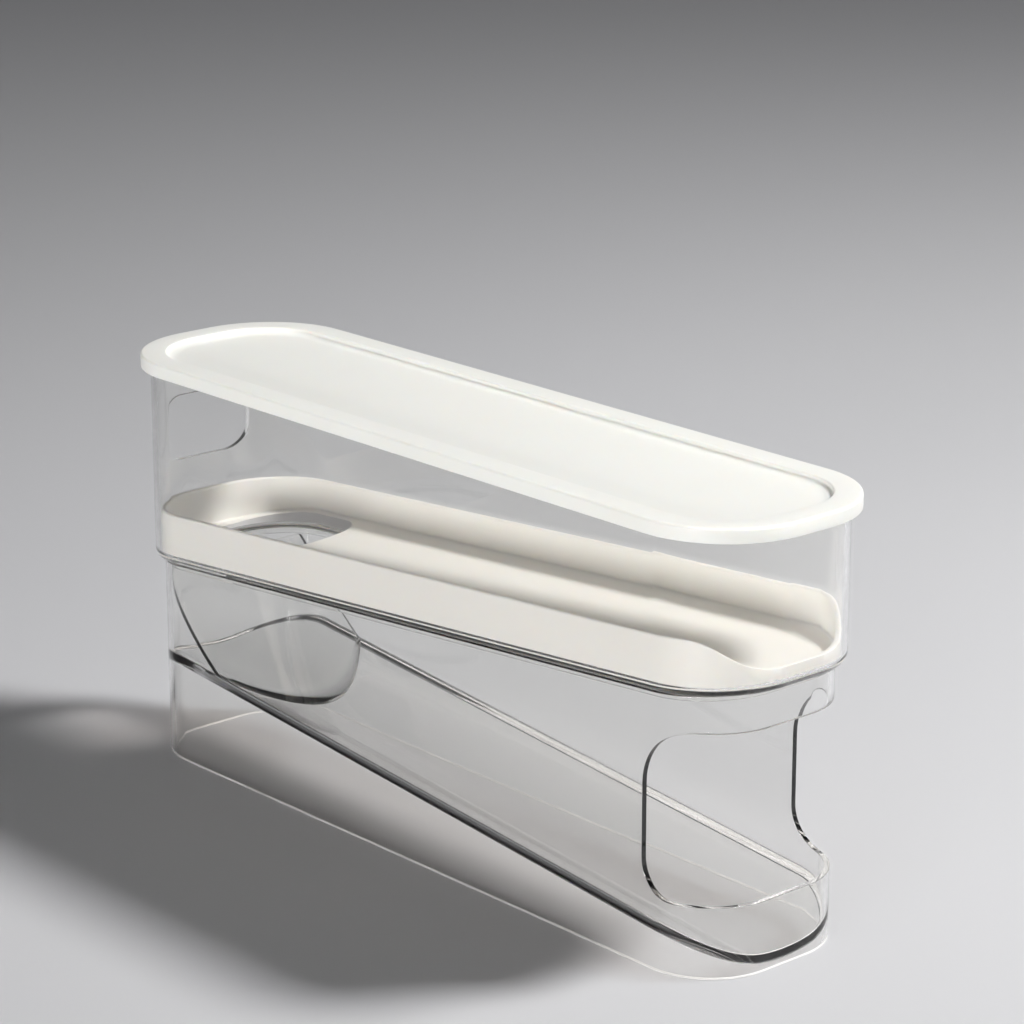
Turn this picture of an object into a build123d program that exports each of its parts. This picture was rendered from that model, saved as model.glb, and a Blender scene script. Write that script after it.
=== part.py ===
# Sliding egg holder: two sloping channels, one above the other, under a lift-off lid.
# X runs along the holder and the pick-up mouth is at +X. Z is up.
# The origin is the middle of the footprint, on the surface that the holder stands on.
import math
import os

from build123d import *

# Lower housing, outside sizes
lower_length = 307.0
lower_width = 71.6
lower_corner = 25.8
lower_wall = 2.0

# Ramp of the lower channel: a trough that falls towards the mouth
ramp_height = 19.1
ramp_angle = 5.4
ramp_thickness = 2.4
ramp_rise = 9.5

# Mouth: the cut-out round the front end
mouth_length = 31.0
mouth_sill = 25.0
mouth_height = 59.4
mouth_sill_radius = 13.0
mouth_top_radius = 21.0

# Seam between the two housings: a plane that rises towards the mouth
seam_height = 86.6
seam_angle = 4.2

# Upper housing: how far it stands out past the lower one, and its own sizes
end_step = 6.0
side_step = 2.7
upper_corner = 31.3
upper_wall = 2.0
upper_floor = 2.5
upper_top = 153.2
upper_bottom_round = 2.6
top_edge_chamfer = 0.5

# Locating lip under the upper housing, inside the rim of the lower one
lip_depth = 2.0
lip_thickness = 1.6
lip_clearance = 0.3

# Drop opening at the rear, through the upper floor and the tray
drop_length = 48.0
drop_corner = 9.0

# Hand hole in the rear wall of the upper housing
hand_width = 40.0
hand_height = 25.0
hand_corner = 10.0
hand_middle = 120.0

# Egg tray
tray_clearance = 0.4
tray_wall = 2.0
tray_floor = 1.8
tray_rise = 3.0
tray_height = 17.2
tray_front_height = 5.4
tray_dip_length = 32.0
dip_low_share = 0.80
dip_high_share = 0.85
tray_bottom_chamfer = 0.8

# Rear guide: a curved sheet that turns up from the ramp towards the drop opening
guide_start = 49.5
guide_radius = 108.0
guide_lean = 33.5
guide_thickness = 2.0
guide_clearance = 0.3
guide_top_gap = 0.6

# Lid
lid_overhang = 3.5
lid_plate = 2.0
lid_skirt = 5.2
lid_skirt_wall = 2.2
lid_rim = 7.0
lid_recess = 2.5
lid_lip_depth = 4.5
lid_lip_thickness = 1.8
lid_lip_clearance = 0.4
lid_edge_round = 1.3
lid_recess_round = 1.0

# Sizes that follow from the ones above
upper_length = lower_length + 2 * end_step
upper_width = lower_width + 2 * side_step
lid_top = upper_top + lid_plate
reach = upper_length + upper_width
tall = lid_top + reach


# Upright prism on a rounded rectangle, drawn in by a margin all round
def prism(length, width, corner, inset, low, high):
    plan = RectangleRounded(length - 2 * inset, width - 2 * inset, corner - inset)
    return Pos(0, 0, low) * extrude(plan, amount=high - low)


def lower_prism(inset, low=-reach, high=tall):
    return prism(lower_length, lower_width, lower_corner, inset, low, high)


def upper_prism(inset, low=-reach, high=tall):
    return prism(upper_length, upper_width, upper_corner, inset, low, high)


# Everything below a plane parallel to the seam, a given height above it
def below_seam(height):
    block = Box(2 * reach, reach, 2 * tall, align=(Align.CENTER, Align.CENTER, Align.MAX))
    return Pos(0, 0, seam_height + height) * Rot(0, -seam_angle, 0) * block


# The one face of a solid that looks down
def downward_face(solid):
    return solid.faces().filter_by(lambda face: face.normal_at().Z < -0.9)[0]


# Radius of an arc that rises by a given height over a half width
def arc_radius(half_width, rise):
    return (half_width**2 + rise**2) / (2 * rise)


# Cross-section of a channel: a round bottom that touches the origin, with the space above it
def channel_section(radius, half_width, height):
    edge = radius - math.sqrt(radius**2 - half_width**2)
    bottom = ThreePointArc((-half_width, edge), (0, 0), (half_width, edge))
    sides = Polyline((half_width, edge), (half_width, height), (-half_width, height), (-half_width, edge))
    return make_face(bottom + sides)


# A section in the Y-Z plane, swept both ways along a line that falls towards +X
def sweep_down_slope(section, height, angle):
    fall = math.radians(angle)
    plane = Plane(origin=(0, 0, height), x_dir=(0, 1, 0), z_dir=(math.cos(fall), 0, -math.sin(fall)))
    return extrude(plane * section, amount=reach, both=True)


ramp_half_width = lower_width / 2 - lower_wall
ramp_radius = arc_radius(ramp_half_width, ramp_rise)
ramp_section_width = lower_width / 2


# Band of the trough itself, of constant thickness
def trough_band(radius, thickness, half_width):
    outer = Pos(0, -thickness) * channel_section(radius + thickness, half_width, reach)
    inner = channel_section(radius, half_width, reach)
    return outer - inner


# Open space above the ramp's surface, lifted by a clearance
def space_above_ramp(clearance):
    section = channel_section(ramp_radius, ramp_section_width, reach)
    return sweep_down_slope(section, ramp_height + clearance, ramp_angle)


# Side view of the mouth, cut through both walls and round the front end
def mouth_cut():
    start = lower_length / 2 - mouth_length
    end = start + reach
    top = mouth_sill + mouth_height
    corners = Polyline((start, mouth_sill), (end, mouth_sill), (end, top), (start, top), close=True)
    side = make_face(corners)
    rear_bottom = side.vertices().group_by(Axis.X)[0].sort_by(Axis.Y)[0]
    side = fillet(rear_bottom, mouth_sill_radius)
    rear_top = side.vertices().group_by(Axis.X)[0].sort_by(Axis.Y)[-1]
    side = fillet(rear_top, mouth_top_radius)
    return extrude(Plane.XZ * side, amount=reach, both=True)


def make_lower_housing():
    walls = lower_prism(0, low=0) - lower_prism(lower_wall)
    band = trough_band(ramp_radius, ramp_thickness, ramp_section_width)
    ramp = sweep_down_slope(band, ramp_height, ramp_angle) & lower_prism(0, low=0)
    body = (walls + ramp) & below_seam(0)
    return body - mouth_cut()


# Plan of the drop opening: the rear end of the lip's inner outline
def drop_cut():
    margin = lower_wall + lip_clearance + lip_thickness
    rear = -lower_length / 2 + margin
    front = rear + drop_length
    outline = RectangleRounded(lower_length - 2 * margin, lower_width - 2 * margin, lower_corner - margin)
    window = Pos((rear + front) / 2, 0) * Rectangle(drop_length, lower_width)
    plan = outline & window
    plan = fillet(plan.vertices().group_by(Axis.X)[-1], drop_corner)
    return extrude(plan, amount=tall)


def hand_cut():
    side = RectangleRounded(hand_width, hand_height, hand_corner)
    plane = Plane(origin=(-upper_length / 4, 0, hand_middle), x_dir=(0, -1, 0), z_dir=(-1, 0, 0))
    return extrude(plane * side, amount=reach)


def make_upper_housing():
    body = upper_prism(0, low=0, high=upper_top) - below_seam(0)
    body = fillet(downward_face(body).edges(), upper_bottom_round)
    body -= upper_prism(upper_wall) - below_seam(upper_floor)
    rim_edges = body.faces().sort_by(Axis.Z)[-1].edges()
    body = chamfer(rim_edges, top_edge_chamfer)
    lip_outer = lower_wall + lip_clearance
    lip = lower_prism(lip_outer) - lower_prism(lip_outer + lip_thickness)
    lip = lip & below_seam(upper_floor / 2)
    lip -= below_seam(-lip_depth)
    return body + lip - drop_cut() - hand_cut()


# End view of the dip in the tray's rim: a smooth valley in front of the channel
def dip_cut():
    half = upper_width / 2 - upper_wall - tray_clearance
    low = seam_height + upper_floor + tray_front_height
    front = upper_length / 2 - upper_wall - tray_clearance
    lift = front * math.tan(math.radians(seam_angle))
    low += lift
    high = low + tray_height - tray_front_height
    turn_low = dip_low_share * half
    turn_high = dip_high_share * half
    right = Bezier((0, low), (turn_low, low), (turn_high, high), (half, high))
    left = Bezier((0, low), (-turn_low, low), (-turn_high, high), (-half, high))
    cap = Polyline((half, high), (half, tall), (-half, tall), (-half, high))
    end = make_face(right + cap + left)
    plane = Plane(origin=(front - tray_dip_length, 0, 0), x_dir=(0, 1, 0), z_dir=(1, 0, 0))
    return extrude(plane * end, amount=reach)


def make_egg_tray():
    outside = upper_wall + tray_clearance
    body = upper_prism(outside) & below_seam(upper_floor + tray_height)
    body -= below_seam(upper_floor)
    body = chamfer(downward_face(body).edges(), tray_bottom_chamfer)
    half_width = upper_width / 2 - outside
    radius = arc_radius(half_width - tray_wall, tray_rise)
    section = channel_section(radius, half_width, reach)
    channel = sweep_down_slope(section, seam_height + upper_floor + tray_floor, -seam_angle)
    body -= upper_prism(outside + tray_wall) & channel
    return body - dip_cut() - drop_cut()


# A quarter ring in side view, run across the channel and trimmed to the ramp and the walls
def make_rear_guide():
    lean = math.radians(guide_lean)
    start_x = guide_start - lower_length / 2
    start_height = ramp_height + ramp_rise - start_x * math.tan(math.radians(ramp_angle))
    centre_x = start_x + guide_radius * math.sin(lean)
    centre_height = start_height + guide_radius * math.cos(lean)
    outer_radius = guide_radius + guide_thickness
    ring = Circle(outer_radius) - Circle(guide_radius)
    ring &= Rectangle(outer_radius, outer_radius, align=(Align.MAX, Align.MAX))
    side = Plane.XZ * Pos(centre_x, centre_height) * ring
    sheet = extrude(side, amount=lower_width, both=True)
    sheet &= lower_prism(lower_wall + guide_clearance)
    sheet &= space_above_ramp(guide_clearance)
    return sheet & below_seam(-lip_depth - guide_top_gap)


def make_lid():
    skirt_low = lid_top - lid_skirt

    def lid_prism(inset, low, high):
        length = upper_length + 2 * lid_overhang
        width = upper_width + 2 * lid_overhang
        return prism(length, width, upper_corner + lid_overhang, inset, low, high)

    body = lid_prism(0, skirt_low, lid_top)
    body -= lid_prism(lid_rim, lid_top - lid_recess, lid_top)
    rim_edges = body.faces().sort_by(Axis.Z)[-1].edges()
    body = fillet(rim_edges, lid_edge_round)
    panel = body.faces().filter_by(Plane.XY).group_by(Axis.Z)[1]
    body = fillet(panel.edges(), lid_recess_round)
    lip_outer = lid_overhang + upper_wall + lid_lip_clearance
    lip_inner = lip_outer + lid_lip_thickness
    lip_low = upper_top - lid_lip_depth
    groove = lid_prism(lid_skirt_wall, skirt_low, upper_top) - lid_prism(lip_outer, skirt_low, upper_top)
    body -= groove
    body += lid_prism(lip_outer, lip_low, upper_top) - lid_prism(lip_inner, lip_low, upper_top)
    under_panel = lid_top - lid_recess - lid_plate
    return body - lid_prism(lip_inner, lip_low, under_panel)


pieces = {
    "lower_housing": make_lower_housing(),
    "rear_guide": make_rear_guide(),
    "upper_housing": make_upper_housing(),
    "egg_tray": make_egg_tray(),
    "lid": make_lid(),
}

os.makedirs("parts", exist_ok=True)
for name, piece in pieces.items():
    export_step(piece, f"parts/{name}.step")
    print(name, "volume", round(piece.volume), "solids", len(piece.solids()))
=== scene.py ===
import math

import bmesh
import bpy
import numpy as np
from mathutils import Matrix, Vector
from mathutils.geometry import delaunay_2d_cdt


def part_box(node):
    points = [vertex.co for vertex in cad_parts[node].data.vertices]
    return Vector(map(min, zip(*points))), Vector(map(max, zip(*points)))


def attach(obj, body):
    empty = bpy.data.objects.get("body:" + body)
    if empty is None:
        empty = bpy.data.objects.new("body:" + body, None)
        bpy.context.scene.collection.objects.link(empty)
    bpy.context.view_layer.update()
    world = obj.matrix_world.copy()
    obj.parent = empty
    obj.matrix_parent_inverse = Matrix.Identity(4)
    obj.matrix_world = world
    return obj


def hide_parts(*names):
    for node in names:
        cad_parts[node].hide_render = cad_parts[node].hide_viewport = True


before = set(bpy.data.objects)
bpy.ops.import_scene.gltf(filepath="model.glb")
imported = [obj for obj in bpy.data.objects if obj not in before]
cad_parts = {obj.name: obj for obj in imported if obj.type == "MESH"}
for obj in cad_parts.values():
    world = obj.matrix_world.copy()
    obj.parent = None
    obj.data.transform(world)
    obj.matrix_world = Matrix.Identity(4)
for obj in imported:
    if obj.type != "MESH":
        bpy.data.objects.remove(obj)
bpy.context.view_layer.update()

print("frame loaded:", ", ".join(sorted(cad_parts)))

# Lengths are in millimetres and angles in degrees. A mesh is scaled to metres when it is done.
mm = 0.001
mergeGap = 0.002  # corners nearer than this are one
quarterTurn = math.pi / 2


def boxOf(node):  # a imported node's box, in millimetres
    low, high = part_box(node)
    return low / mm, high / mm


def hexColour(text):  # an sRGB hex value as linear RGBA
    parts = [int(text[i:i + 2], 16) / 255 for i in (1, 3, 5)]
    return [c / 12.92 if c <= 0.04045 else ((c + 0.055) / 1.055) ** 2.4 for c in parts] + [1.0]


def addNode(tree, kind, settings=None, links=None):  # a node with its settings and links
    node = tree.nodes.new(kind)
    for name, value in (settings or {}).items():
        if isinstance(name, int) or name in node.inputs:
            node.inputs[name].default_value = value
        else:
            setattr(node, name, value)
    for name, source in (links or {}).items():
        tree.links.new(source, node.inputs[name])
    return node


def addObject(name, data):
    made = bpy.data.objects.new(name, data)
    bpy.context.scene.collection.objects.link(made)
    return made


def newMaterial(name):
    material = bpy.data.materials.new(name)
    material.use_nodes = True
    material.node_tree.nodes.clear()
    return material, material.node_tree


# Camera, at the photograph's viewing angle
cameraSetup = {
    "azimuth": 48.425,
    "elevation": 16.776,
    "distance": 1201.8,
    "target": (19.63, -0.727, 124.31),
    "lens": 122.69,
    "sensor": 36.0,
    "clipEnd": 50.0,  # metres
}


def makeCamera():
    turn = math.radians(cameraSetup["azimuth"])
    rise = math.radians(cameraSetup["elevation"])
    back = Vector((math.sin(turn) * math.cos(rise), -math.cos(turn) * math.cos(rise), math.sin(rise)))
    data = bpy.data.cameras.new("camera")
    data.lens = cameraSetup["lens"]
    data.sensor_width = cameraSetup["sensor"]
    data.clip_end = cameraSetup["clipEnd"]
    camera = addObject("camera", data)
    camera.location = (Vector(cameraSetup["target"]) + back * cameraSetup["distance"]) * mm
    camera.rotation_euler = (quarterTurn - rise, 0, turn)
    bpy.context.scene.camera = camera


makeCamera()
print("camera set")


# Materials
clearLook = {
    "tint": "#fdfdfc",
    "shade": "#f6f5f4",  # what is left of a white wall's or a lamp's light behind one face
    "ior": 1.57,
    "roughness": (0.008, 0.03),
    "smear": 30.0,  # size of the soft patches in the polish
    "smearRange": (0.35, 0.75),  # noise at which the polish is at its best and at its dullest
    "wave": 22.0,  # size of the slow waves that the melt leaves
    "waveDepth": 0.004,
}


def roughPatches(tree, place, size, span, roughness, detail=3.0):  # noise and the roughness it sets
    noise = addNode(tree, "ShaderNodeTexNoise", {"Scale": 1 / (size * mm), "Detail": detail},
                    {"Vector": place})
    gloss = addNode(tree, "ShaderNodeMapRange",
                    {"From Min": span[0], "From Max": span[1], "To Min": roughness[0],
                     "To Max": roughness[1]}, {"Value": noise.outputs["Fac"]})
    return noise.outputs["Fac"], gloss.outputs["Result"]


def makeClearPlastic():
    # Clear styrene acrylonitrile, moulded in a polished tool: glassy faces with faint slow waves,
    # no colour, and edges that turn dark or bright where they bend the light.
    look = clearLook
    material, tree = newMaterial("clearStyrenePolished")
    place = addNode(tree, "ShaderNodeTexCoord").outputs["Object"]
    _, gloss = roughPatches(tree, place, look["smear"], look["smearRange"], look["roughness"])
    wave = addNode(tree, "ShaderNodeTexNoise", {"Scale": 1 / (look["wave"] * mm), "Detail": 1.0},
                   {"Vector": place})
    bump = addNode(tree, "ShaderNodeBump", {"Strength": 1.0, "Distance": look["waveDepth"] * mm},
                   {"Height": wave.outputs["Fac"]})
    body = addNode(tree, "ShaderNodeBsdfPrincipled",
                   {"Base Color": hexColour(look["tint"]), "IOR": look["ior"],
                    "Transmission Weight": 1.0},
                   {"Roughness": gloss, "Normal": bump.outputs["Normal"]})
    passing = addNode(tree, "ShaderNodeBsdfTransparent", {"Color": hexColour(look["shade"])})
    path = addNode(tree, "ShaderNodeLightPath")
    mixed = addNode(tree, "ShaderNodeMixShader", None,
                    {"Fac": path.outputs["Is Diffuse Ray"], 1: body.outputs[0], 2: passing.outputs[0]})
    mixed = addNode(tree, "ShaderNodeMixShader", None,
                    {"Fac": path.outputs["Is Shadow Ray"], 1: mixed.outputs[0], 2: passing.outputs[0]})
    addNode(tree, "ShaderNodeOutputMaterial", None, {"Surface": mixed.outputs[0]})
    return material


# The foot's whitish colour and its lower share of clear light are partly real rubbing and partly a
# painted glow of light let out at the foot.
rubbedGlowLook = {
    "colour": "#f3f2f0",
    "clear": 0.3,  # share of the light that still passes
    "roughness": (0.4, 0.6),
    "scuff": 1.6,
    "scuffRange": (0.3, 0.7),
    "scuffDepth": 0.05,
    "scuffStrength": 0.5,
}


def makeRubbedGlowFoot():
    # The same clear plastic where shelves have rubbed it: dull, with fine scuffs. Its whitish colour is
    # partly real rubbing and partly a painted glow, standing in for light that the walls carry down and
    # let out at the foot.
    look = rubbedGlowLook
    material, tree = newMaterial("clearStyreneRubbed")
    place = addNode(tree, "ShaderNodeTexCoord").outputs["Object"]
    scuff, gloss = roughPatches(tree, place, look["scuff"], look["scuffRange"], look["roughness"])
    bump = addNode(tree, "ShaderNodeBump",
                   {"Strength": look["scuffStrength"], "Distance": look["scuffDepth"] * mm},
                   {"Height": scuff})
    body = addNode(tree, "ShaderNodeBsdfPrincipled",
                   {"Base Color": hexColour(look["colour"]), "IOR": clearLook["ior"],
                    "Transmission Weight": look["clear"]},
                   {"Roughness": gloss, "Normal": bump.outputs["Normal"]})
    addNode(tree, "ShaderNodeOutputMaterial", None, {"Surface": body.outputs[0]})
    return material


whiteLooks = {
    "lid": {"name": "whiteAbsSatin", "colour": ("#efefea", "#ebeae4"),
            "roughness": (0.36, 0.46), "grain": 0.45, "grainDepth": 0.012, "patch": 45.0},
    "tray": {"name": "whitePolypropyleneSatin", "colour": ("#f8f6f1", "#f4f1eb"),
             "roughness": (0.42, 0.52), "grain": 0.55, "grainDepth": 0.012, "patch": 35.0},
}
whiteBody = {
    "ior": 1.5,
    "grainRange": (0.3, 0.7),
    "grainStrength": 0.6,
    "glow": 0.3,  # share of the light that goes in and comes out again near by
    "glowReach": 2.5,
    "glowTint": (1.0, 0.8, 0.6),
}


def makeWhitePlastic(look):
    # Warm white, moulded in a tool with a fine spark-eroded skin: a soft satin highlight
    # over faint cloudy patches, and a grain that is drawn a little coarse so that it shows.
    material, tree = newMaterial(look["name"])
    place = addNode(tree, "ShaderNodeTexCoord").outputs["Object"]
    patch = addNode(tree, "ShaderNodeTexNoise", {"Scale": 1 / (look["patch"] * mm), "Detail": 4.0},
                    {"Vector": place})
    colour = addNode(tree, "ShaderNodeMix",
                     {"data_type": "RGBA", 6: hexColour(look["colour"][0]),
                      7: hexColour(look["colour"][1])}, {0: patch.outputs["Fac"]})
    grain, gloss = roughPatches(tree, place, look["grain"], whiteBody["grainRange"],
                                look["roughness"], detail=2.0)
    bump = addNode(tree, "ShaderNodeBump",
                   {"Strength": whiteBody["grainStrength"], "Distance": look["grainDepth"] * mm},
                   {"Height": grain})
    body = addNode(tree, "ShaderNodeBsdfPrincipled",
                   {"IOR": whiteBody["ior"], "Subsurface Weight": whiteBody["glow"],
                    "Subsurface Scale": whiteBody["glowReach"] * mm,
                    "Subsurface Radius": whiteBody["glowTint"]},
                   {"Base Color": colour.outputs[2], "Roughness": gloss,
                    "Normal": bump.outputs["Normal"]})
    addNode(tree, "ShaderNodeOutputMaterial", None, {"Surface": body.outputs[0]})
    return material


clearPlastic = makeClearPlastic()
rubbedGlowFoot = makeRubbedGlowFoot()
whiteLid = makeWhitePlastic(whiteLooks["lid"])
whiteTray = makeWhitePlastic(whiteLooks["tray"])
print("materials made")


# The rounded outline that every piece follows. A place along it is counted in millimetres on
# its outer line, from the middle of the end that it faces, and is negative on the -Y side.
def makeForm(length, width, corner, facing):
    return {"end": width / 2 - corner, "run": length / 2 - corner, "corner": corner,
            "quarter": corner * quarterTurn, "facing": facing}


def outlineAt(form, along, depth):  # x, y and the outward direction, a depth inside the outer line
    side, rest = (1 if along >= 0 else -1), abs(along)
    end, run, corner, quarter = form["end"], form["run"], form["corner"], form["quarter"]
    if rest <= end:
        x, y, turn = run + corner, rest, 0
    elif rest <= end + quarter:
        turn = (rest - end) / corner
        x, y = run + corner * math.cos(turn), end + corner * math.sin(turn)
    elif rest <= end + quarter + 2 * run:
        x, y, turn = run - (rest - end - quarter), end + corner, quarterTurn
    elif rest <= end + 2 * quarter + 2 * run:
        turn = quarterTurn + (rest - end - quarter - 2 * run) / corner
        x, y = -run + corner * math.cos(turn), end + corner * math.sin(turn)
    else:
        x, y, turn = -run - corner, end - (rest - end - 2 * quarter - 2 * run), math.pi
    outX, outY = math.cos(turn), math.sin(turn)
    facing = form["facing"]
    return facing * (x - outX * depth), side * (y - outY * depth), facing * outX, side * outY


def outlineStops(form, endSteps=3, cornerSteps=24, runStep=14.0):  # places all round, ends included
    end, run, quarter = form["end"], form["run"], form["quarter"]
    pieces = ((end, endSteps), (quarter, cornerSteps), (2 * run, round(2 * run / runStep)),
              (quarter, cornerSteps), (end, endSteps))
    half, at = [0.0], 0.0
    for size, steps in pieces:
        half += [at + size * (i + 1) / steps for i in range(steps)]
        at += size
    return [-a for a in reversed(half[1:])] + half


def alongFromX(form, x, depth):  # the place where the outline passes a given x, near the end it faces
    if x <= form["run"]:
        return form["end"] + form["quarter"] + form["run"] - x
    share = (x - form["run"]) / (form["corner"] - depth)
    return form["end"] + form["corner"] * math.acos(min(1, share))


def alongFromY(form, y, depth):  # the same for a given y
    if y <= form["end"]:
        return y
    share = (y - form["end"]) / (form["corner"] - depth)
    return form["end"] + form["corner"] * math.asin(min(1, share))


def crossings(points, border):  # True for the points inside a border of line pieces
    px, py = points[:, :1], points[:, 1:]
    x1, y1, x2, y2 = border.T
    spans = (y1 > py) != (y2 > py)
    rise = np.where(y2 == y1, 1, y2 - y1)
    return ((spans & (px < (x2 - x1) * (py - y1) / rise + x1)).sum(1) % 2) == 1


def fillRegion(loops, extra=(), clear=1.2):  # triangles between flat closed loops
    # Extra points make them even, and stay clear of the loops.
    points, edges = [], []
    for loop in loops:
        first = len(points)
        points += [tuple(p) for p in loop]
        edges += [(first + i, first + (i + 1) % len(loop)) for i in range(len(loop))]
    border = np.array([points[a] + points[b] for a, b in edges])
    if len(extra):
        extra = np.array(extra, float)
        extra = extra[crossings(extra, border)]
        gaps = ((extra[:, None] - border[None, :, :2]) ** 2).sum(2).min(1)
        points += [tuple(p) for p in extra[gaps > clear ** 2]]
    everyTriangle, samePoint = 0, 1e-6
    made = delaunay_2d_cdt([Vector(p) for p in points], edges, [], everyTriangle, samePoint)
    flat = np.array([v[:] for v in made[0]])
    faces = np.array([f for f in made[2]])
    keep = crossings(flat[faces].mean(1), border)
    return [[tuple(flat[i]) for i in face] for face in faces[keep]]


def addFace(faces, corners):  # corners are pairs of a point and the direction it should shade as
    faces.append(([c[0] for c in corners], [c[1] for c in corners]))


def joinRows(faces, rowA, rowB):  # a strip between two rows of points and directions
    for i in range(len(rowA) - 1):
        addFace(faces, (rowA[i], rowA[i + 1], rowB[i + 1], rowB[i]))


def plainStrip(faces, rowA, rowB):  # a strip between two closed rows, shaded along its own bend
    count = len(rowA) - 1
    shaded = []
    for row, other in ((rowA, rowB), (rowB, rowA)):
        made = []
        for i in range(count + 1):
            tangent = row[(i + 1) % count][0] - row[(i - 1) % count][0]
            across = other[i][0] - row[i][0]
            made.append((row[i][0], tangent.cross(across).normalized()))
        shaded.append(made)
    joinRows(faces, shaded[0], shaded[1])


def bendRows(steps, size):  # how far from the edge, and how deep, each row of a rounded edge lies
    turns = [quarterTurn * i / steps for i in range(steps + 1)] if size else [quarterTurn]
    return [(abs(size) * (1 - math.sin(t)), size * (1 - math.cos(t)), t) for t in turns]


def shadeBend(rows, size, turns):  # directions across a rounded edge, from its first and last rows
    shaded = []
    for row, turn in zip(rows, turns):
        made = []
        for (point, out), (first, _), (last, _) in zip(row, rows[0], rows[-1]):
            towards = (last - first) / abs(size) + (out if size > 0 else -out)
            sign = 1 if size > 0 else -1
            made.append((point, (out * math.cos(turn) + sign * towards * math.sin(turn)).normalized()))
        shaded.append(made)
    return shaded


def buildWall(faces, form, inset, inward, bottom, top, holes=()):
    # One face of a wall. inward is 1 on the outer face and -1 on the inner one. bottom and top are
    # (height by x and y, size of the rounded edge, steps), and a hole is (loop maker, size, steps).
    # A size below 0 is a hollow bend, such as a fillet.
    sideCuts, gridStep = 12, 5.0
    stops = outlineStops(form)

    def pointAt(along, z, depth):
        x, y, outX, outY = outlineAt(form, along, depth)
        return Vector((x, y, z)), Vector((outX, outY, 0)) * inward

    def edge(spec, up):
        height, size, steps = spec
        rows, flat, bends = [], None, bendRows(steps, size)
        for off, deep, _ in bends:
            depth = inset + inward * deep
            places = []
            for along in stops:
                x, y, _, _ = outlineAt(form, along, depth)
                places.append((along, height(x, y) + up * off))
            flat = flat or places
            rows.append([pointAt(a, z, depth) for a, z in places])
        if size:
            shaded = shadeBend(rows, size, [b[2] for b in bends])
            for rowA, rowB in zip(shaded, shaded[1:]):
                joinRows(faces, rowA, rowB)
        return flat, rows[-1]

    lowFlat, lowRow = edge(bottom, 1)
    highFlat, highRow = edge(top, -1)
    seamEnd, seamLow, seamHigh = highFlat[-1][0], lowFlat[-1][1], highFlat[-1][1]
    shares = [(i + 1) / sideCuts for i in range(sideCuts - 1)]
    right = [(seamEnd, seamLow + (seamHigh - seamLow) * share) for share in shares]
    left = [(-a, z) for a, z in reversed(right)]
    loops = [lowFlat + right + highFlat[::-1] + left]
    holeRows = []
    for maker, size, steps in holes:
        rows, flat, bends = [], None, bendRows(steps, size)
        for off, deep, _ in bends:
            depth = inset + inward * deep
            places = maker(off, depth)
            flat = flat or places
            rows.append([pointAt(a, z, depth) for a, z in places + places[:1]])
        shaded = shadeBend(rows, size, [b[2] for b in bends])
        for rowA, rowB in zip(shaded, shaded[1:]):
            joinRows(faces, rowA, rowB)
        loops.append(flat)
        holeRows.append(rows[-1])
    levels = np.arange(0, lidHigh.z, gridStep)
    extra = [(along, z) for along in stops[1:-1] for z in levels]
    for triangle in fillRegion(loops, extra):
        addFace(faces, [pointAt(a, z, inset) for a, z in triangle])
    return lowRow, highRow, holeRows


def buildPlate(faces, loops, height, up, grid=0.0):  # a level or dished plate between closed loops
    hair = 0.01

    def pointAt(x, y):
        z = height(x, y)
        slopeX = (height(x + hair, y) - z) / hair
        slopeY = (height(x, y + hair) - z) / hair
        return Vector((x, y, z)), Vector((-slopeX, -slopeY, 1)).normalized() * up

    flat = [[(p[0].x, p[0].y) for p in loop[:-1]] for loop in loops]
    extra = []
    if grid:
        xs = [p[0] for p in flat[0]]
        ys = [p[1] for p in flat[0]]
        columns, rows = np.arange(min(xs) + grid, max(xs), 2 * grid), np.arange(0, max(ys), grid)
        extra = [(x, y) for x in columns for y in rows]
        extra += [(x, -y) for x, y in extra if y]
    for triangle in fillRegion(flat, extra):
        addFace(faces, [pointAt(x, y) for x, y in triangle])


def ringRow(form, depth, height):  # a closed row of points at one depth
    row = []
    for along in outlineStops(form):
        x, y, _, _ = outlineAt(form, along, depth)
        row.append((Vector((x, y, height(x, y))), None))
    return row


def meshFromFaces(name, faces, materials, matteGlowBelow=None):
    # Faces under this height get the second material: the rubbed foot, whitened as a painted glow.
    bm = bmesh.new()
    layer = bm.loops.layers.float_vector.new("shade")
    for points, directions in faces:
        face = bm.faces.new([bm.verts.new(p) for p in points])
        for corner, direction in zip(face.loops, directions):
            corner[layer] = direction
    bmesh.ops.remove_doubles(bm, verts=bm.verts, dist=mergeGap)
    bmesh.ops.recalc_face_normals(bm, faces=bm.faces)
    openEdges = sum(1 for e in bm.edges if len(e.link_faces) != 2)
    for face in bm.faces:
        if matteGlowBelow and face.calc_center_median().z < matteGlowBelow:
            face.material_index = 1
    bmesh.ops.scale(bm, vec=(mm, mm, mm), verts=bm.verts)
    mesh = bpy.data.meshes.new(name)
    normals = []
    for face in bm.faces:
        face.smooth = True
        for corner in face.loops:
            direction = Vector(corner[layer])
            normals.append(direction if direction.dot(face.normal) > 0 else -direction)
    bm.to_mesh(mesh)
    bm.free()
    mesh.attributes.remove(mesh.attributes["shade"])
    mesh.normals_split_custom_set(normals)
    for material in materials:
        mesh.materials.append(material)
    piece = addObject(name, mesh)
    print(name, "faces", len(mesh.polygons), "open edges", openEdges)
    return piece


# Seam between the two housings, read from the frame
lowerLow, lowerHigh = boxOf("lower_housing")
upperLow, upperHigh = boxOf("upper_housing")
lidLow, lidHigh = boxOf("lid")
seam = {
    "angle": 4.2,
    "gap": 0.05,  # keeps faces that rest on each other apart
}
seam["slope"] = math.tan(math.radians(seam["angle"]))
seam["height"] = lowerHigh.z - seam["slope"] * lowerHigh.x


def seamAt(lift):  # height of a plane parallel to the seam
    return lambda x, y: seam["height"] + seam["slope"] * x + lift


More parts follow.
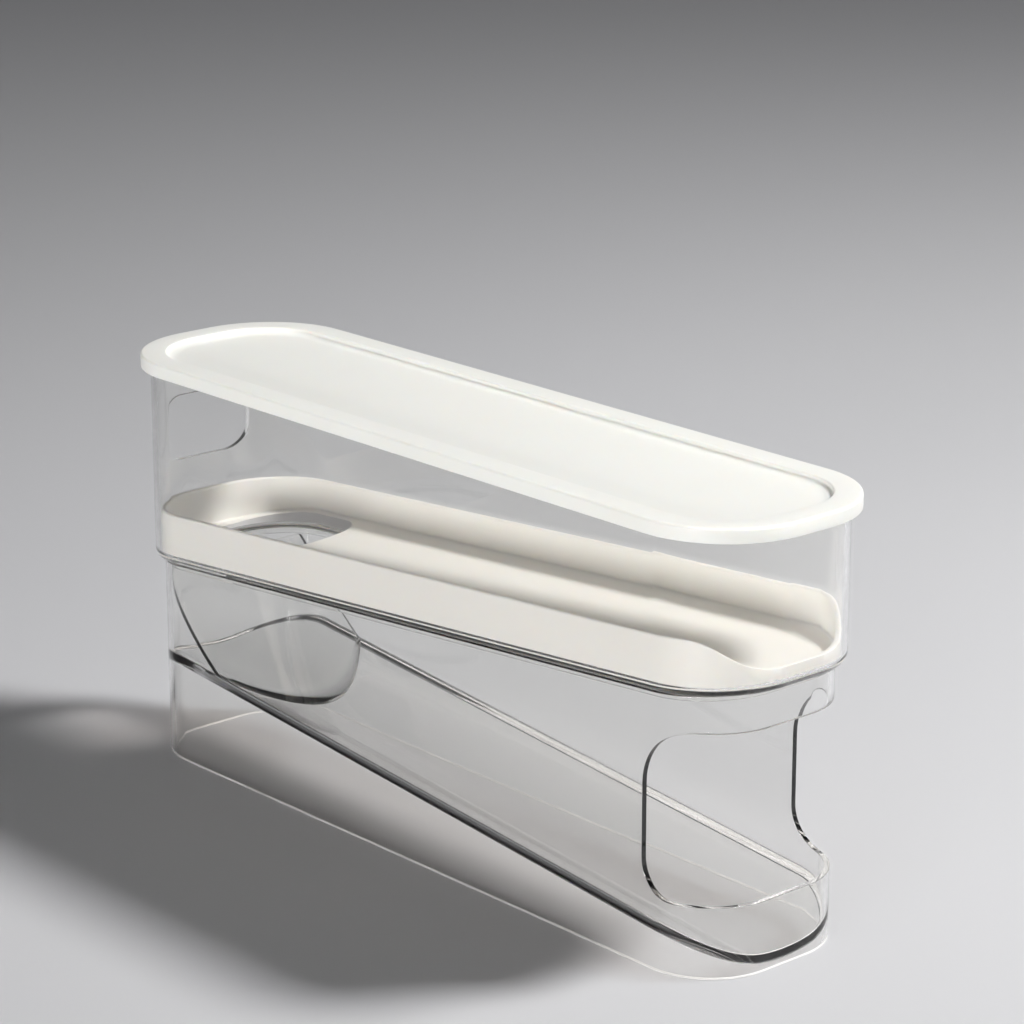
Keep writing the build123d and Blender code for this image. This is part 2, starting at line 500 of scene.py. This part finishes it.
# Lower housing: walls, the trough of the ramp and the wrap-round mouth
lower = {
    "corner": 25.8,
    "wall": 2.0,
    "rampHeight": 19.1,
    "rampAngle": 5.4,
    "rampThickness": 2.4,
    "rampRise": 9.5,
    "mouthLength": 31.0,
    "sill": 25.0,
    "mouthHeight": 59.4,
    "sillRadius": 13.0,
    "topRadius": 21.0,
    "edge": 0.35,  # rounding of rim and foot
    "mouthEdge": 0.2,
    "edgeSteps": 3,
    "fillet": 0.9,  # inside corner between ramp and wall
    "filletSteps": 4,
    "rampGrid": 4.0,
}


def lowerForm(facing):
    return makeForm(lowerHigh.x - lowerLow.x, lowerHigh.y - lowerLow.y, lower["corner"], facing)


def rampAt(side):  # side 0 is the ramp's upper face, 1 its under face
    reach = (lowerHigh.y - lowerLow.y) / 2 - lower["wall"]
    radius = (reach ** 2 + lower["rampRise"] ** 2) / (2 * lower["rampRise"])
    fall = math.radians(lower["rampAngle"])
    outer = radius + side * lower["rampThickness"]

    def height(x, y):
        drop = radius - math.sqrt(outer ** 2 - min(abs(y), reach + lower["wall"]) ** 2)
        return lower["rampHeight"] - x * math.tan(fall) + drop / math.cos(fall)

    return height


def mouthLoop(form, off, depth):  # the mouth's outline, widened by off
    low, high = lower["sill"], lower["sill"] + lower["mouthHeight"]
    start = lowerHigh.x - lower["mouthLength"]
    arcSteps, straightSteps, sideShares = 14, 30, (0.1, 0.3, 0.5, 0.7, 0.9)
    half = []
    bottomEnd = alongFromX(form, start + lower["sillRadius"], depth)
    half += [(bottomEnd * i / straightSteps, low - off) for i in range(straightSteps)]
    for i in range(arcSteps + 1):
        turn = quarterTurn * (1 - i / arcSteps)
        radius = lower["sillRadius"] + off
        x = start + lower["sillRadius"] - radius * math.cos(turn)
        half.append((alongFromX(form, x, depth), low + lower["sillRadius"] - radius * math.sin(turn)))
    straight = high - lower["topRadius"] - low - lower["sillRadius"]
    side = alongFromX(form, start - off, depth)
    half += [(side, low + lower["sillRadius"] + straight * share) for share in sideShares]
    for i in range(arcSteps + 1):
        turn = quarterTurn * i / arcSteps
        radius = lower["topRadius"] + off
        x = start + lower["topRadius"] - radius * math.cos(turn)
        half.append((alongFromX(form, x, depth), high - lower["topRadius"] + radius * math.sin(turn)))
    topEnd = alongFromX(form, start + lower["topRadius"], depth)
    half += [(topEnd * (1 - i / straightSteps), high + off) for i in range(1, straightSteps + 1)]
    return half + [(-a, z) for a, z in reversed(half[1:-1])]


def makeLowerHousing():
    form = lowerForm(1)
    faces = []
    edge, wall, edgeSteps = lower["edge"], lower["wall"], lower["edgeSteps"]
    foot = (lambda x, y: 0.0, edge, edgeSteps)
    rim = (seamAt(-seam["gap"]), edge, edgeSteps)
    mouth = (lambda off, depth: mouthLoop(form, off, depth), lower["mouthEdge"], edgeSteps)
    rampTop = (rampAt(0), -lower["fillet"], lower["filletSteps"])
    rampUnder = (rampAt(1), -lower["fillet"], lower["filletSteps"])
    footOut, rimOut, mouthOut = buildWall(faces, form, 0, 1, foot, rim, [mouth])
    channel, rimIn, mouthIn = buildWall(faces, form, wall, -1, rampTop, rim, [mouth])
    footIn, hollow, _ = buildWall(faces, form, wall, -1, foot, rampUnder)
    plainStrip(faces, footOut, footIn)
    plainStrip(faces, rimOut, rimIn)
    plainStrip(faces, mouthOut[0], mouthIn[0])
    buildPlate(faces, [channel], rampAt(0), 1, lower["rampGrid"])
    buildPlate(faces, [hollow], rampAt(1), -1, lower["rampGrid"])
    # The faces of the foot take the rubbed material, whose whitish colour paints the glow at the foot.
    return meshFromFaces("lowerHousing", faces, (clearPlastic, rubbedGlowFoot), lower["edge"])


# Upper housing: walls, sloping floor with its drop opening, locating lip and hand hole
upper = {
    "corner": 31.3,
    "wall": 2.0,
    "floor": 2.5,
    "bottomRound": 4.2,  # with the fillet, an even bend from floor to wall
    "bottomSteps": 8,
    "fillet": 2.0,
    "filletSteps": 3,
    "edge": 0.35,
    "handEdge": 0.2,
    "edgeSteps": 3,
    "lipClearance": 0.3,
    "lipThickness": 1.6,
    "lipDepth": 2.0,
    "dropLength": 48.0,
    "dropCorner": 9.0,
    "dropMargin": 0.2,  # ledge between the lip and the drop opening
    "handWidth": 40.0,
    "handHeight": 25.0,
    "handCorner": 10.0,
    "handMiddle": 120.0,
}


def handLoop(form, off, depth):  # the hand hole's outline, widened by off
    halfWidth, halfHeight, corner = upper["handWidth"] / 2, upper["handHeight"] / 2, upper["handCorner"]
    flat, tall = halfWidth - corner, halfHeight - corner
    arcSteps, flatSteps = 12, 6
    half = [(flat * i / flatSteps, -halfHeight - off) for i in range(flatSteps)]
    reach = corner + off
    for centre, first in ((-tall, -quarterTurn), (tall, 0)):
        for i in range(arcSteps + 1):
            turn = first + quarterTurn * i / arcSteps
            half.append((flat + reach * math.cos(turn), centre + reach * math.sin(turn)))
    half += [(flat * (1 - i / flatSteps), halfHeight + off) for i in range(1, flatSteps + 1)]
    placed = [(alongFromY(form, y, depth), upper["handMiddle"] + z) for y, z in half]
    return placed + [(-a, z) for a, z in reversed(placed[1:-1])]


def dropRow(height):  # closed row round the drop opening: the lower outline's rear end, cut off square
    margin = lower["wall"] + upper["lipClearance"] + upper["lipThickness"] + upper["dropMargin"]
    form = lowerForm(-1)
    rear = lowerLow.x + margin
    front = rear + upper["dropLength"]
    side = lowerHigh.y - margin
    corner = upper["dropCorner"]
    straight = front - corner + form["run"]
    sideSteps, arcSteps, hair = 5, 8, 0.01
    half = []
    for along in outlineStops(form):
        x, y, _, _ = outlineAt(form, along, margin)
        if along >= 0 and x < -form["run"] + hair:
            half.append((x, y))
    half += [(-form["run"] + straight * i / sideSteps, side) for i in range(1, sideSteps)]
    for i in range(arcSteps + 1):
        turn = quarterTurn * (1 - i / arcSteps)
        half.append((front - corner + corner * math.cos(turn), side - corner + corner * math.sin(turn)))
    half += [(front, (side - corner) * (1 - i / sideSteps)) for i in range(1, sideSteps)]
    outline = half + [(front, 0.0)] + [(x, -y) for x, y in reversed(half[1:])] + [half[0]]
    return [(Vector((x, y, height(x, y))), None) for x, y in outline]


def makeUpperHousing():
    form = makeForm(upperHigh.x - upperLow.x, upperHigh.y - upperLow.y, upper["corner"], -1)
    inner = lowerForm(-1)
    faces = []
    under, floor, lipEnd = seamAt(0), seamAt(upper["floor"]), seamAt(-upper["lipDepth"])
    top = (lambda x, y: upperHigh.z - seam["gap"], upper["edge"], upper["edgeSteps"])
    hand = (lambda off, depth: handLoop(form, off, depth), upper["handEdge"], upper["edgeSteps"])
    bottom = (under, upper["bottomRound"], upper["bottomSteps"])
    fillet = (floor, -upper["fillet"], upper["filletSteps"])
    belly, topOut, handOut = buildWall(faces, form, 0, 1, bottom, top, [hand])
    ledge, topIn, handIn = buildWall(faces, form, upper["wall"], -1, fillet, top, [hand])
    plainStrip(faces, topOut, topIn)
    plainStrip(faces, handOut[0], handIn[0])
    lipOut = lower["wall"] + upper["lipClearance"]
    lipIn = lipOut + upper["lipThickness"]
    lip = [ringRow(inner, lipOut, under), ringRow(inner, lipOut, lipEnd),
           ringRow(inner, lipIn, lipEnd), ringRow(inner, lipIn, under)]
    for rowA, rowB in zip(lip, lip[1:]):
        plainStrip(faces, rowA, rowB)
    buildPlate(faces, [ledge, dropRow(floor)], floor, 1)
    buildPlate(faces, [belly, lip[0]], under, -1)
    buildPlate(faces, [lip[3], dropRow(under)], under, -1)
    plainStrip(faces, dropRow(under), dropRow(floor))
    return meshFromFaces("upperHousing", faces, (clearPlastic,))


# Rear guide: a curved sheet that turns up from the ramp towards the drop opening
guide = {
    "start": 49.5,
    "radius": 108.0,
    "lean": 33.5,
    "thickness": 2.0,
    "clearance": 0.3,
    "topGap": 0.6,
    "edge": 0.45,
    "edgeSteps": 3,
    "edgeAngle": 40.0,  # corners sharper than this are rounded
    "across": 28,
    "up": 20,
    "toeTurns": (0.1, 1.0),  # radians between which the toe is looked for
    "headRoom": 0.2,  # radians by which the head stays short of upright
    "halvings": 40,
}


def makeRearGuide():
    form = lowerForm(1)
    lean = math.radians(guide["lean"])
    startX = lowerLow.x + guide["start"]
    fall = math.tan(math.radians(lower["rampAngle"]))
    startZ = lower["rampHeight"] + lower["rampRise"] - startX * fall
    centreX = startX + guide["radius"] * math.sin(lean)
    centreZ = startZ + guide["radius"] * math.cos(lean)
    ramp = rampAt(0)
    top = seamAt(-upper["lipDepth"] - guide["topGap"])
    inset = lower["wall"] + guide["clearance"]

    def pointAt(turn, share, radius):
        x = centreX - radius * math.sin(turn)
        past = max(0.0, -form["run"] - x)
        reach = form["end"] + math.sqrt((form["corner"] - inset) ** 2 - past ** 2)
        return Vector((x, share * reach, centreZ - radius * math.cos(turn)))

    def crossing(share, radius, height, lift, low, high):  # turn at which the sheet passes a surface
        for _ in range(guide["halvings"]):
            middle = (low + high) / 2
            p = pointAt(middle, share, radius)
            if p.z > height(p.x, p.y) + lift:
                high = middle
            else:
                low = middle
        return (low + high) / 2

    bm = bmesh.new()
    sheets = []
    for radius in (guide["radius"], guide["radius"] + guide["thickness"]):
        sheet = []
        for i in range(guide["across"] + 1):
            share = 2 * i / guide["across"] - 1
            toe = crossing(share, radius, ramp, guide["clearance"], *guide["toeTurns"])
            head = crossing(share, radius, top, 0, toe, quarterTurn - guide["headRoom"])
            column = [toe + (head - toe) * k / guide["up"] for k in range(guide["up"] + 1)]
            sheet.append([bm.verts.new(pointAt(turn, share, radius)) for turn in column])
        sheets.append(sheet)
    front, rear = sheets
    for i in range(guide["across"]):
        for k in range(guide["up"]):
            for sheet in sheets:
                bm.faces.new((sheet[i][k], sheet[i + 1][k], sheet[i + 1][k + 1], sheet[i][k + 1]))
        for k in (0, guide["up"]):
            bm.faces.new((front[i][k], front[i + 1][k], rear[i + 1][k], rear[i][k]))
    for i in (0, guide["across"]):
        for k in range(guide["up"]):
            bm.faces.new((front[i][k], front[i][k + 1], rear[i][k + 1], rear[i][k]))
    bmesh.ops.recalc_face_normals(bm, faces=bm.faces)
    bmesh.ops.scale(bm, vec=(mm, mm, mm), verts=bm.verts)
    mesh = bpy.data.meshes.new("rearGuide")
    bm.to_mesh(mesh)
    bm.free()
    mesh.shade_smooth()
    mesh.materials.append(clearPlastic)
    piece = addObject("rearGuide", mesh)
    bevel = piece.modifiers.new("edge", "BEVEL")
    bevel.width = guide["edge"] * mm
    bevel.segments = guide["edgeSteps"]
    bevel.limit_method = "ANGLE"
    bevel.angle_limit = math.radians(guide["edgeAngle"])
    bevel.harden_normals = True
    print("rearGuide faces", len(mesh.polygons))
    return piece


lowerHousing = makeLowerHousing()
upperHousing = makeUpperHousing()
rearGuide = makeRearGuide()
print("clear pieces made")


# Lid and egg tray: one profile swept round the rounded outline by geometry nodes
sharpAngle = 35.0  # white faces that meet at more than this keep a crisp edge


def roundedProfile(corners, steps=5):  # corners are (outward, height, rounding)
    points = []
    for i, (x, z, size) in enumerate(corners):
        here = Vector((x, z))
        if not size:
            points.append(here)
            continue
        before = (Vector(corners[i - 1][:2]) - here).normalized()
        after = (Vector(corners[i + 1][:2]) - here).normalized()
        half = before.angle(after) / 2
        reach = size / math.tan(half)
        centre = here + (before + after).normalized() * (size / math.sin(half))
        first = here + before * reach - centre
        last = here + after * reach - centre
        sweep = first.angle_signed(last)
        for k in range(steps + 1):
            turn = -sweep * k / steps
            points.append(centre + Vector((first.x * math.cos(turn) - first.y * math.sin(turn),
                                           first.x * math.sin(turn) + first.y * math.cos(turn))))
    return points


def makeSweepTree():
    floorBand = 0.7 * mm  # points this near the top level are dished
    dishPower, dipPower = 2.0, 2.5
    tree = bpy.data.node_groups.new("sweptRound", "GeometryNodeTree")
    sizes = ("Length", "Width", "Corner", "Top Level", "Base Level", "Lean", "Dish Rise",
             "Dish Half Width", "Rim Level", "Dip Start", "Dip Fade", "Dip Depth", "Dip Half Width")
    for label in sizes:
        tree.interface.new_socket(label, in_out="INPUT", socket_type="NodeSocketFloat")
    tree.interface.new_socket("Corner Steps", in_out="INPUT", socket_type="NodeSocketInt")
    tree.interface.new_socket("Profile", in_out="INPUT", socket_type="NodeSocketObject")
    tree.interface.new_socket("Material", in_out="INPUT", socket_type="NodeSocketMaterial")
    tree.interface.new_socket("Mesh", in_out="OUTPUT", socket_type="NodeSocketGeometry")
    given = addNode(tree, "NodeGroupInput").outputs

    # The outline, and the profile swept round it
    frameLine = addNode(tree, "GeometryNodeCurvePrimitiveQuadrilateral", {"mode": "RECTANGLE"},
                        {"Width": given["Length"], "Height": given["Width"]})
    outline = addNode(tree, "GeometryNodeFilletCurve", {"mode": "POLY"},
                      {"Curve": frameLine.outputs[0], "Count": given["Corner Steps"],
                       "Radius": given["Corner"]})
    upright = addNode(tree, "GeometryNodeSetCurveNormal", {"mode": "Z_UP"},
                      {"Curve": outline.outputs[0]})
    profile = addNode(tree, "GeometryNodeObjectInfo", None, {"Object": given["Profile"]})
    swept = addNode(tree, "GeometryNodeCurveToMesh", None,
                    {"Curve": upright.outputs[0], "Profile Curve": profile.outputs["Geometry"]})

    # A panel closes the sweep above and below
    parts = [swept.outputs[0]]
    for level, turned in (("Top Level", False), ("Base Level", True)):
        panel = addNode(tree, "GeometryNodeFillCurve", {"mode": "NGONS"},
                        {"Curve": outline.outputs[0]})
        lift = addNode(tree, "ShaderNodeCombineXYZ", None, {"Z": given[level]})
        raised = addNode(tree, "GeometryNodeTransform", None,
                         {"Geometry": panel.outputs[0], "Translation": lift.outputs[0]})
        source = raised.outputs[0]
        if turned:
            source = addNode(tree, "GeometryNodeFlipFaces", None, {"Mesh": source}).outputs[0]
        parts.append(source)
    joined = addNode(tree, "GeometryNodeJoinGeometry")
    for source in parts:
        tree.links.new(source, joined.inputs[0])
    whole = addNode(tree, "GeometryNodeMergeByDistance", {"Distance": mergeGap * mm},
                    {"Geometry": joined.outputs[0]})

    # Lean with the seam, dish across the floor, and the dip of the rim at the front
    place = addNode(tree, "ShaderNodeSeparateXYZ", None,
                    {0: addNode(tree, "GeometryNodeInputPosition").outputs[0]})
    lean = addNode(tree, "ShaderNodeMath", {"operation": "MULTIPLY"},
                   {0: place.outputs["X"], 1: given["Lean"]})
    curves = []
    for label, power in (("Dish Half Width", dishPower), ("Dip Half Width", dipPower)):
        share = addNode(tree, "ShaderNodeMath", {"operation": "DIVIDE"},
                        {0: place.outputs["Y"], 1: given[label]})
        size = addNode(tree, "ShaderNodeMath", {"operation": "ABSOLUTE"}, {0: share.outputs[0]})
        curves.append(addNode(tree, "ShaderNodeMath", {"operation": "POWER", 1: power},
                              {0: size.outputs[0]}))
    dishCurve, dipCurve = curves
    dish = addNode(tree, "ShaderNodeMath", {"operation": "MULTIPLY"},
                   {0: dishCurve.outputs[0], 1: given["Dish Rise"]})
    onFloor = addNode(tree, "ShaderNodeMath", {"operation": "COMPARE", 2: floorBand},
                      {0: place.outputs["Z"], 1: given["Top Level"]})
    dished = addNode(tree, "ShaderNodeMath", {"operation": "MULTIPLY"},
                     {0: dish.outputs[0], 1: onFloor.outputs[0]})
    valley = addNode(tree, "ShaderNodeMapRange",
                     {"interpolation_type": "SMOOTHSTEP", "To Min": 1.0, "To Max": 0.0},
                     {"Value": dipCurve.outputs[0]})
    fadeEnd = addNode(tree, "ShaderNodeMath", {"operation": "ADD"},
                      {0: given["Dip Start"], 1: given["Dip Fade"]})
    fade = addNode(tree, "ShaderNodeMapRange", {"interpolation_type": "SMOOTHSTEP"},
                   {"Value": place.outputs["X"], "From Min": given["Dip Start"],
                    "From Max": fadeEnd.outputs[0]})
    upWall = addNode(tree, "ShaderNodeMapRange", None,
                     {"Value": place.outputs["Z"], "From Min": given["Top Level"],
                      "From Max": given["Rim Level"]})
    dip = given["Dip Depth"]
    for factor in (valley, fade, upWall):
        dip = addNode(tree, "ShaderNodeMath", {"operation": "MULTIPLY"},
                      {0: dip, 1: factor.outputs[0]}).outputs[0]
    leanAndDish = addNode(tree, "ShaderNodeMath", {"operation": "ADD"},
                          {0: lean.outputs[0], 1: dished.outputs[0]})
    lifted = addNode(tree, "ShaderNodeMath", {"operation": "SUBTRACT"},
                     {0: leanAndDish.outputs[0], 1: dip})
    shift = addNode(tree, "ShaderNodeCombineXYZ", None, {"Z": lifted.outputs[0]})
    shaped = addNode(tree, "GeometryNodeSetPosition", None,
                     {"Geometry": whole.outputs[0], "Offset": shift.outputs[0]})

    real = addNode(tree, "GeometryNodeRealizeInstances", None, {"Geometry": shaped.outputs[0]})
    coloured = addNode(tree, "GeometryNodeSetMaterial", None,
                       {"Geometry": real.outputs[0], "Material": given["Material"]})
    addNode(tree, "NodeGroupOutput", None, {"Mesh": coloured.outputs[0]})
    return tree


def sweepPiece(name, tree, values, profile, material):
    # The profile is a curve object: outward is +X and up is -Y, as the sweep turns it.
    curve = bpy.data.curves.new(name + "Profile", "CURVE")
    curve.dimensions = "3D"
    line = curve.splines.new("POLY")
    line.points.add(len(profile) - 1)
    for point, (x, z) in zip(line.points, profile):
        point.co = (x * mm, -z * mm, 0, 1)
    profileObject = addObject(name + "Profile", curve)
    host = addObject(name + "Host", bpy.data.meshes.new(name + "Host"))
    modifier = host.modifiers.new("sweep", "NODES")
    modifier.node_group = tree
    for item in tree.interface.items_tree:
        if item.in_out == "INPUT" and item.name in values:
            modifier[item.identifier] = values[item.name]
        elif item.name == "Profile":
            modifier[item.identifier] = profileObject
        elif item.name == "Material":
            modifier[item.identifier] = material
    host.update_tag()
    evaluated = host.evaluated_get(bpy.context.evaluated_depsgraph_get())
    mesh = bpy.data.meshes.new_from_object(evaluated)
    mesh.name = name
    host.modifiers.remove(modifier)
    for helper in (profileObject, host):
        bpy.data.objects.remove(helper)
    piece = addObject(name, mesh)
    mesh.shade_smooth()
    mesh.set_sharp_from_angle(angle=math.radians(sharpAngle))
    print(name, "faces", len(mesh.polygons))
    return piece


lid = {
    "corner": 34.8,
    "plate": 2.0,
    "skirt": 5.2,
    "skirtWall": 2.2,
    "rim": 9.6,
    "recess": 2.5,
    "lipInset": 5.9,
    "lipThickness": 1.8,
    "lipDepth": 4.5,
    "edge": 1.0,
    "innerEdge": 0.7,
    "cove": 4.0,  # width of the hollow bend from panel to rim
    "coveSteps": 10,
    "panelInset": 15.0,  # the profile's inner end
    "smallEdge": 0.4,
    "cornerSteps": 30,
}


def makeLid(tree):
    length, width, top = lidHigh.x - lidLow.x, lidHigh.y - lidLow.y, lidHigh.z
    inset = lid["panelInset"]
    panel, rimTop = top - lid["recess"], top
    skirtEnd, ceiling = top - lid["skirt"], top - lid["plate"] + seam["gap"]
    lipEnd = top - lid["plate"] - lid["lipDepth"]
    under = panel - lid["plate"]
    small = lid["smallEdge"]
    lipIn = lid["lipInset"] + lid["lipThickness"]
    rimIn, coveRise = inset - lid["rim"], lid["recess"] - lid["innerEdge"]
    cove = []
    for i in range(lid["coveSteps"]):
        turn = quarterTurn * i / lid["coveSteps"]
        inward, up = lid["cove"] * (1 - math.sin(turn)), coveRise * (1 - math.cos(turn))
        cove.append((rimIn - inward, panel + up, 0))
    corners = [(0, panel, 0)] + cove + [
        (rimIn, rimTop, lid["innerEdge"]),
        (inset, rimTop, lid["edge"]),
        (inset, skirtEnd, small),
        (inset - lid["skirtWall"], skirtEnd, small),
        (inset - lid["skirtWall"], ceiling, small),
        (inset - lid["lipInset"], ceiling, small),
        (inset - lid["lipInset"], lipEnd, small),
        (inset - lipIn, lipEnd, small),
        (inset - lipIn, under, small),
        (0, under, 0),
    ]
    # It has no lean, dish or dip, so the inputs for these only have to be harmless.
    values = {"Length": (length - 2 * inset) * mm, "Width": (width - 2 * inset) * mm,
              "Corner": (lid["corner"] - inset) * mm, "Corner Steps": lid["cornerSteps"],
              "Top Level": panel * mm, "Base Level": under * mm, "Rim Level": 1.0,
              "Lean": 0.0, "Dish Rise": 0.0, "Dish Half Width": 1.0,
              "Dip Start": 1.0, "Dip Fade": 1.0, "Dip Depth": 0.0, "Dip Half Width": 1.0}
    return sweepPiece("lidCover", tree, values, roundedProfile(corners), whiteLid)


tray = {
    "clearance": 0.4,
    "wall": 2.0,
    "floor": 1.8,
    "height": 17.2,
    "frontHeight": 5.4,
    "dipLength": 32.0,
    "dipFade": 6.0,
    "dishRise": 3.0,
    "bottomEdge": 0.8,
    "lift": 0.25,  # its lower edges rest on the housing's fillets, 0.07 into them
    "edge": 0.95,
    "fillet": 1.2,
    "panelInset": 28.0,  # the profile's inner end
    "floorStops": (4, 9, 14, 19),  # points along the floor that take the dish
    "filletRoom": 3,
    "cornerSteps": 30,
    "cutLow": 70.0,  # heights between which the drop opening is cut
    "cutHigh": 125.0,
}


def makeTray(tree):
    outside = upper["wall"] + tray["clearance"]
    length = upperHigh.x - upperLow.x - 2 * outside
    width = upperHigh.y - upperLow.y - 2 * outside
    inset, wall = tray["panelInset"], tray["wall"]
    base = seam["height"] + upper["floor"] + seam["gap"]
    under, floor, rim = base + tray["lift"], base + tray["floor"], base + tray["height"]
    corners = [(x, floor, 0) for x in (0, *tray["floorStops"], inset - wall - tray["filletRoom"])] + [
        (inset - wall, floor, tray["fillet"]),
        (inset - wall, rim, tray["edge"]),
        (inset, rim, tray["edge"]),
        (inset, under, tray["bottomEdge"]),
        (0, under, 0),
    ]
    values = {"Length": (length - 2 * inset) * mm, "Width": (width - 2 * inset) * mm,
              "Corner": (upper["corner"] - outside - inset) * mm, "Corner Steps": tray["cornerSteps"],
              "Top Level": floor * mm, "Base Level": under * mm, "Rim Level": rim * mm,
              "Lean": seam["slope"], "Dish Rise": tray["dishRise"] * mm,
              "Dish Half Width": (width / 2 - wall) * mm,
              "Dip Start": (upperHigh.x - outside - tray["dipLength"]) * mm,
              "Dip Fade": tray["dipFade"] * mm,
              "Dip Depth": (tray["height"] - tray["frontHeight"]) * mm,
              "Dip Half Width": (width / 2 - wall) * mm}
    return sweepPiece("eggTray", tree, values, roundedProfile(corners), whiteTray)


sweepTree = makeSweepTree()
lidCover = makeLid(sweepTree)
eggTray = makeTray(sweepTree)


def cutDropOpening(piece):  # through the tray, in line with the floor's opening
    bm = bmesh.new()
    outline = [point for point, _ in dropRow(lambda x, y: 0.0)[:-1]]
    rings = [[bm.verts.new(Vector((p.x, p.y, z)) * mm) for p in outline]
             for z in (tray["cutLow"], tray["cutHigh"])]
    for i in range(len(outline)):
        k = (i + 1) % len(outline)
        bm.faces.new((rings[0][i], rings[0][k], rings[1][k], rings[1][i]))
    bm.faces.new(rings[0][::-1])
    bm.faces.new(rings[1])
    bmesh.ops.recalc_face_normals(bm, faces=bm.faces)
    mesh = bpy.data.meshes.new("dropCutter")
    bm.to_mesh(mesh)
    bm.free()
    cutter = addObject("dropCutter", mesh)
    cut = piece.modifiers.new("drop", "BOOLEAN")
    cut.operation, cut.solver, cut.object = "DIFFERENCE", "EXACT", cutter
    evaluated = piece.evaluated_get(bpy.context.evaluated_depsgraph_get())
    result = bpy.data.meshes.new_from_object(evaluated)
    result.name = piece.name
    piece.modifiers.clear()
    piece.data = result
    bpy.data.objects.remove(cutter)
    result.shade_smooth()
    result.set_sharp_from_angle(angle=math.radians(sharpAngle))


cutDropOpening(eggTray)
print("white pieces made")

for piece, body, node, slot in (
    (lowerHousing, "lower", "lower_housing", "clear_plastic"),
    (rearGuide, "lower", "rear_guide", "clear_plastic"),
    (upperHousing, "upper", "upper_housing", "clear_plastic"),
    (eggTray, "tray", "egg_tray", "white_plastic"),
    (lidCover, "cover", "lid", "white_plastic"),
):
    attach(piece, body)
    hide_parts(node)


# Floor and light, in metres and watts. A lamp lies right, back and up as the camera sees them.
studio = {
    "floor": "#c9c9cb",
    "floorRadius": 6.0,
    "floorSides": 96,
    "floorDrop": 0.0002,  # keeps the floor's face apart from the foot
    "floorRoughness": 0.7,
    "floorGrain": 900.0,  # grains in a metre
    "grainStrength": 0.15,
    "grainDepth": 0.0001,
    "room": "#202123",
    "backdrop": "#9c9c9e",  # the low part of the room, all round
    "backdropTop": (0.25, 0.65),  # height at which it starts to fade, and has faded, up from 0 to 1
    "aim": (0, 0, 0.08),
    "lamps": {
        "key": {"from": (1.0, -0.02, 1.24), "distance": 1.7, "size": (0.32, 0.32),
                "spread": 180, "power": 34.5},
        "fill": {"from": (-0.50, -0.85, 0.12), "distance": 3.0, "size": (1.7, 0.5),
                 "spread": 30, "power": 3.1},
    },
    "bounces": 48,  # light runs a long way inside the clear walls
    "glossyBounces": 14,
    "passingBounces": 32,
}


def makeFloor():
    material, tree = newMaterial("paleFloor")
    place = addNode(tree, "ShaderNodeTexCoord").outputs["Object"]
    grain = addNode(tree, "ShaderNodeTexNoise", {"Scale": studio["floorGrain"], "Detail": 2.0},
                    {"Vector": place})
    bump = addNode(tree, "ShaderNodeBump",
                   {"Strength": studio["grainStrength"], "Distance": studio["grainDepth"]},
                   {"Height": grain.outputs["Fac"]})
    body = addNode(tree, "ShaderNodeBsdfPrincipled",
                   {"Base Color": hexColour(studio["floor"]), "Roughness": studio["floorRoughness"]},
                   {"Normal": bump.outputs["Normal"]})
    addNode(tree, "ShaderNodeOutputMaterial", None, {"Surface": body.outputs[0]})
    bm = bmesh.new()
    bmesh.ops.create_circle(bm, cap_ends=True, radius=studio["floorRadius"],
                             segments=studio["floorSides"])
    mesh = bpy.data.meshes.new("floor")
    bm.to_mesh(mesh)
    bm.free()
    mesh.materials.append(material)
    floor = addObject("floor", mesh)
    floor.location.z = -studio["floorDrop"]


def cameraSides():  # level directions to the camera's right and away from it
    turn = math.radians(cameraSetup["azimuth"])
    return Vector((math.cos(turn), math.sin(turn), 0)), Vector((-math.sin(turn), math.cos(turn), 0))


def makeLamps():
    right, back = cameraSides()
    aim = Vector(studio["aim"])
    for name, lamp in studio["lamps"].items():
        side, behind, above = lamp["from"]
        direction = (right * side + back * behind + Vector((0, 0, above))).normalized()
        data = bpy.data.lights.new(name, "AREA")
        data.shape = "ELLIPSE"
        data.size, data.size_y = lamp["size"]
        data.spread = math.radians(lamp["spread"])
        data.energy = lamp["power"]
        light = addObject(name, data)
        light.location = aim + direction * lamp["distance"]
        light.rotation_euler = direction.to_track_quat("Z", "Y").to_euler()


def makeWorld():
    world = bpy.data.worlds.new("studio")
    bpy.context.scene.world = world
    world.use_nodes = True
    world.node_tree.nodes.clear()
    tree = world.node_tree
    way = addNode(tree, "ShaderNodeTexCoord").outputs["Generated"]
    height = addNode(tree, "ShaderNodeSeparateXYZ", None, {0: way})
    full, faded = studio["backdropTop"]
    low = addNode(tree, "ShaderNodeMapRange",
                  {"interpolation_type": "SMOOTHSTEP", "From Min": faded, "From Max": full},
                  {"Value": height.outputs["Z"]})
    colour = addNode(tree, "ShaderNodeMix",
                     {"data_type": "RGBA", 6: hexColour(studio["room"]),
                      7: hexColour(studio["backdrop"])}, {0: low.outputs["Result"]})
    light = addNode(tree, "ShaderNodeBackground", None, {"Color": colour.outputs[2]})
    addNode(tree, "ShaderNodeOutputWorld", None, {"Surface": light.outputs[0]})


makeFloor()
makeLamps()
makeWorld()
scene = bpy.context.scene
scene.view_settings.view_transform = "Standard"
scene.cycles.max_bounces = studio["bounces"]
scene.cycles.transmission_bounces = studio["bounces"]
scene.cycles.glossy_bounces = studio["glossyBounces"]
scene.cycles.transparent_max_bounces = studio["passingBounces"]
print("floor and light set")
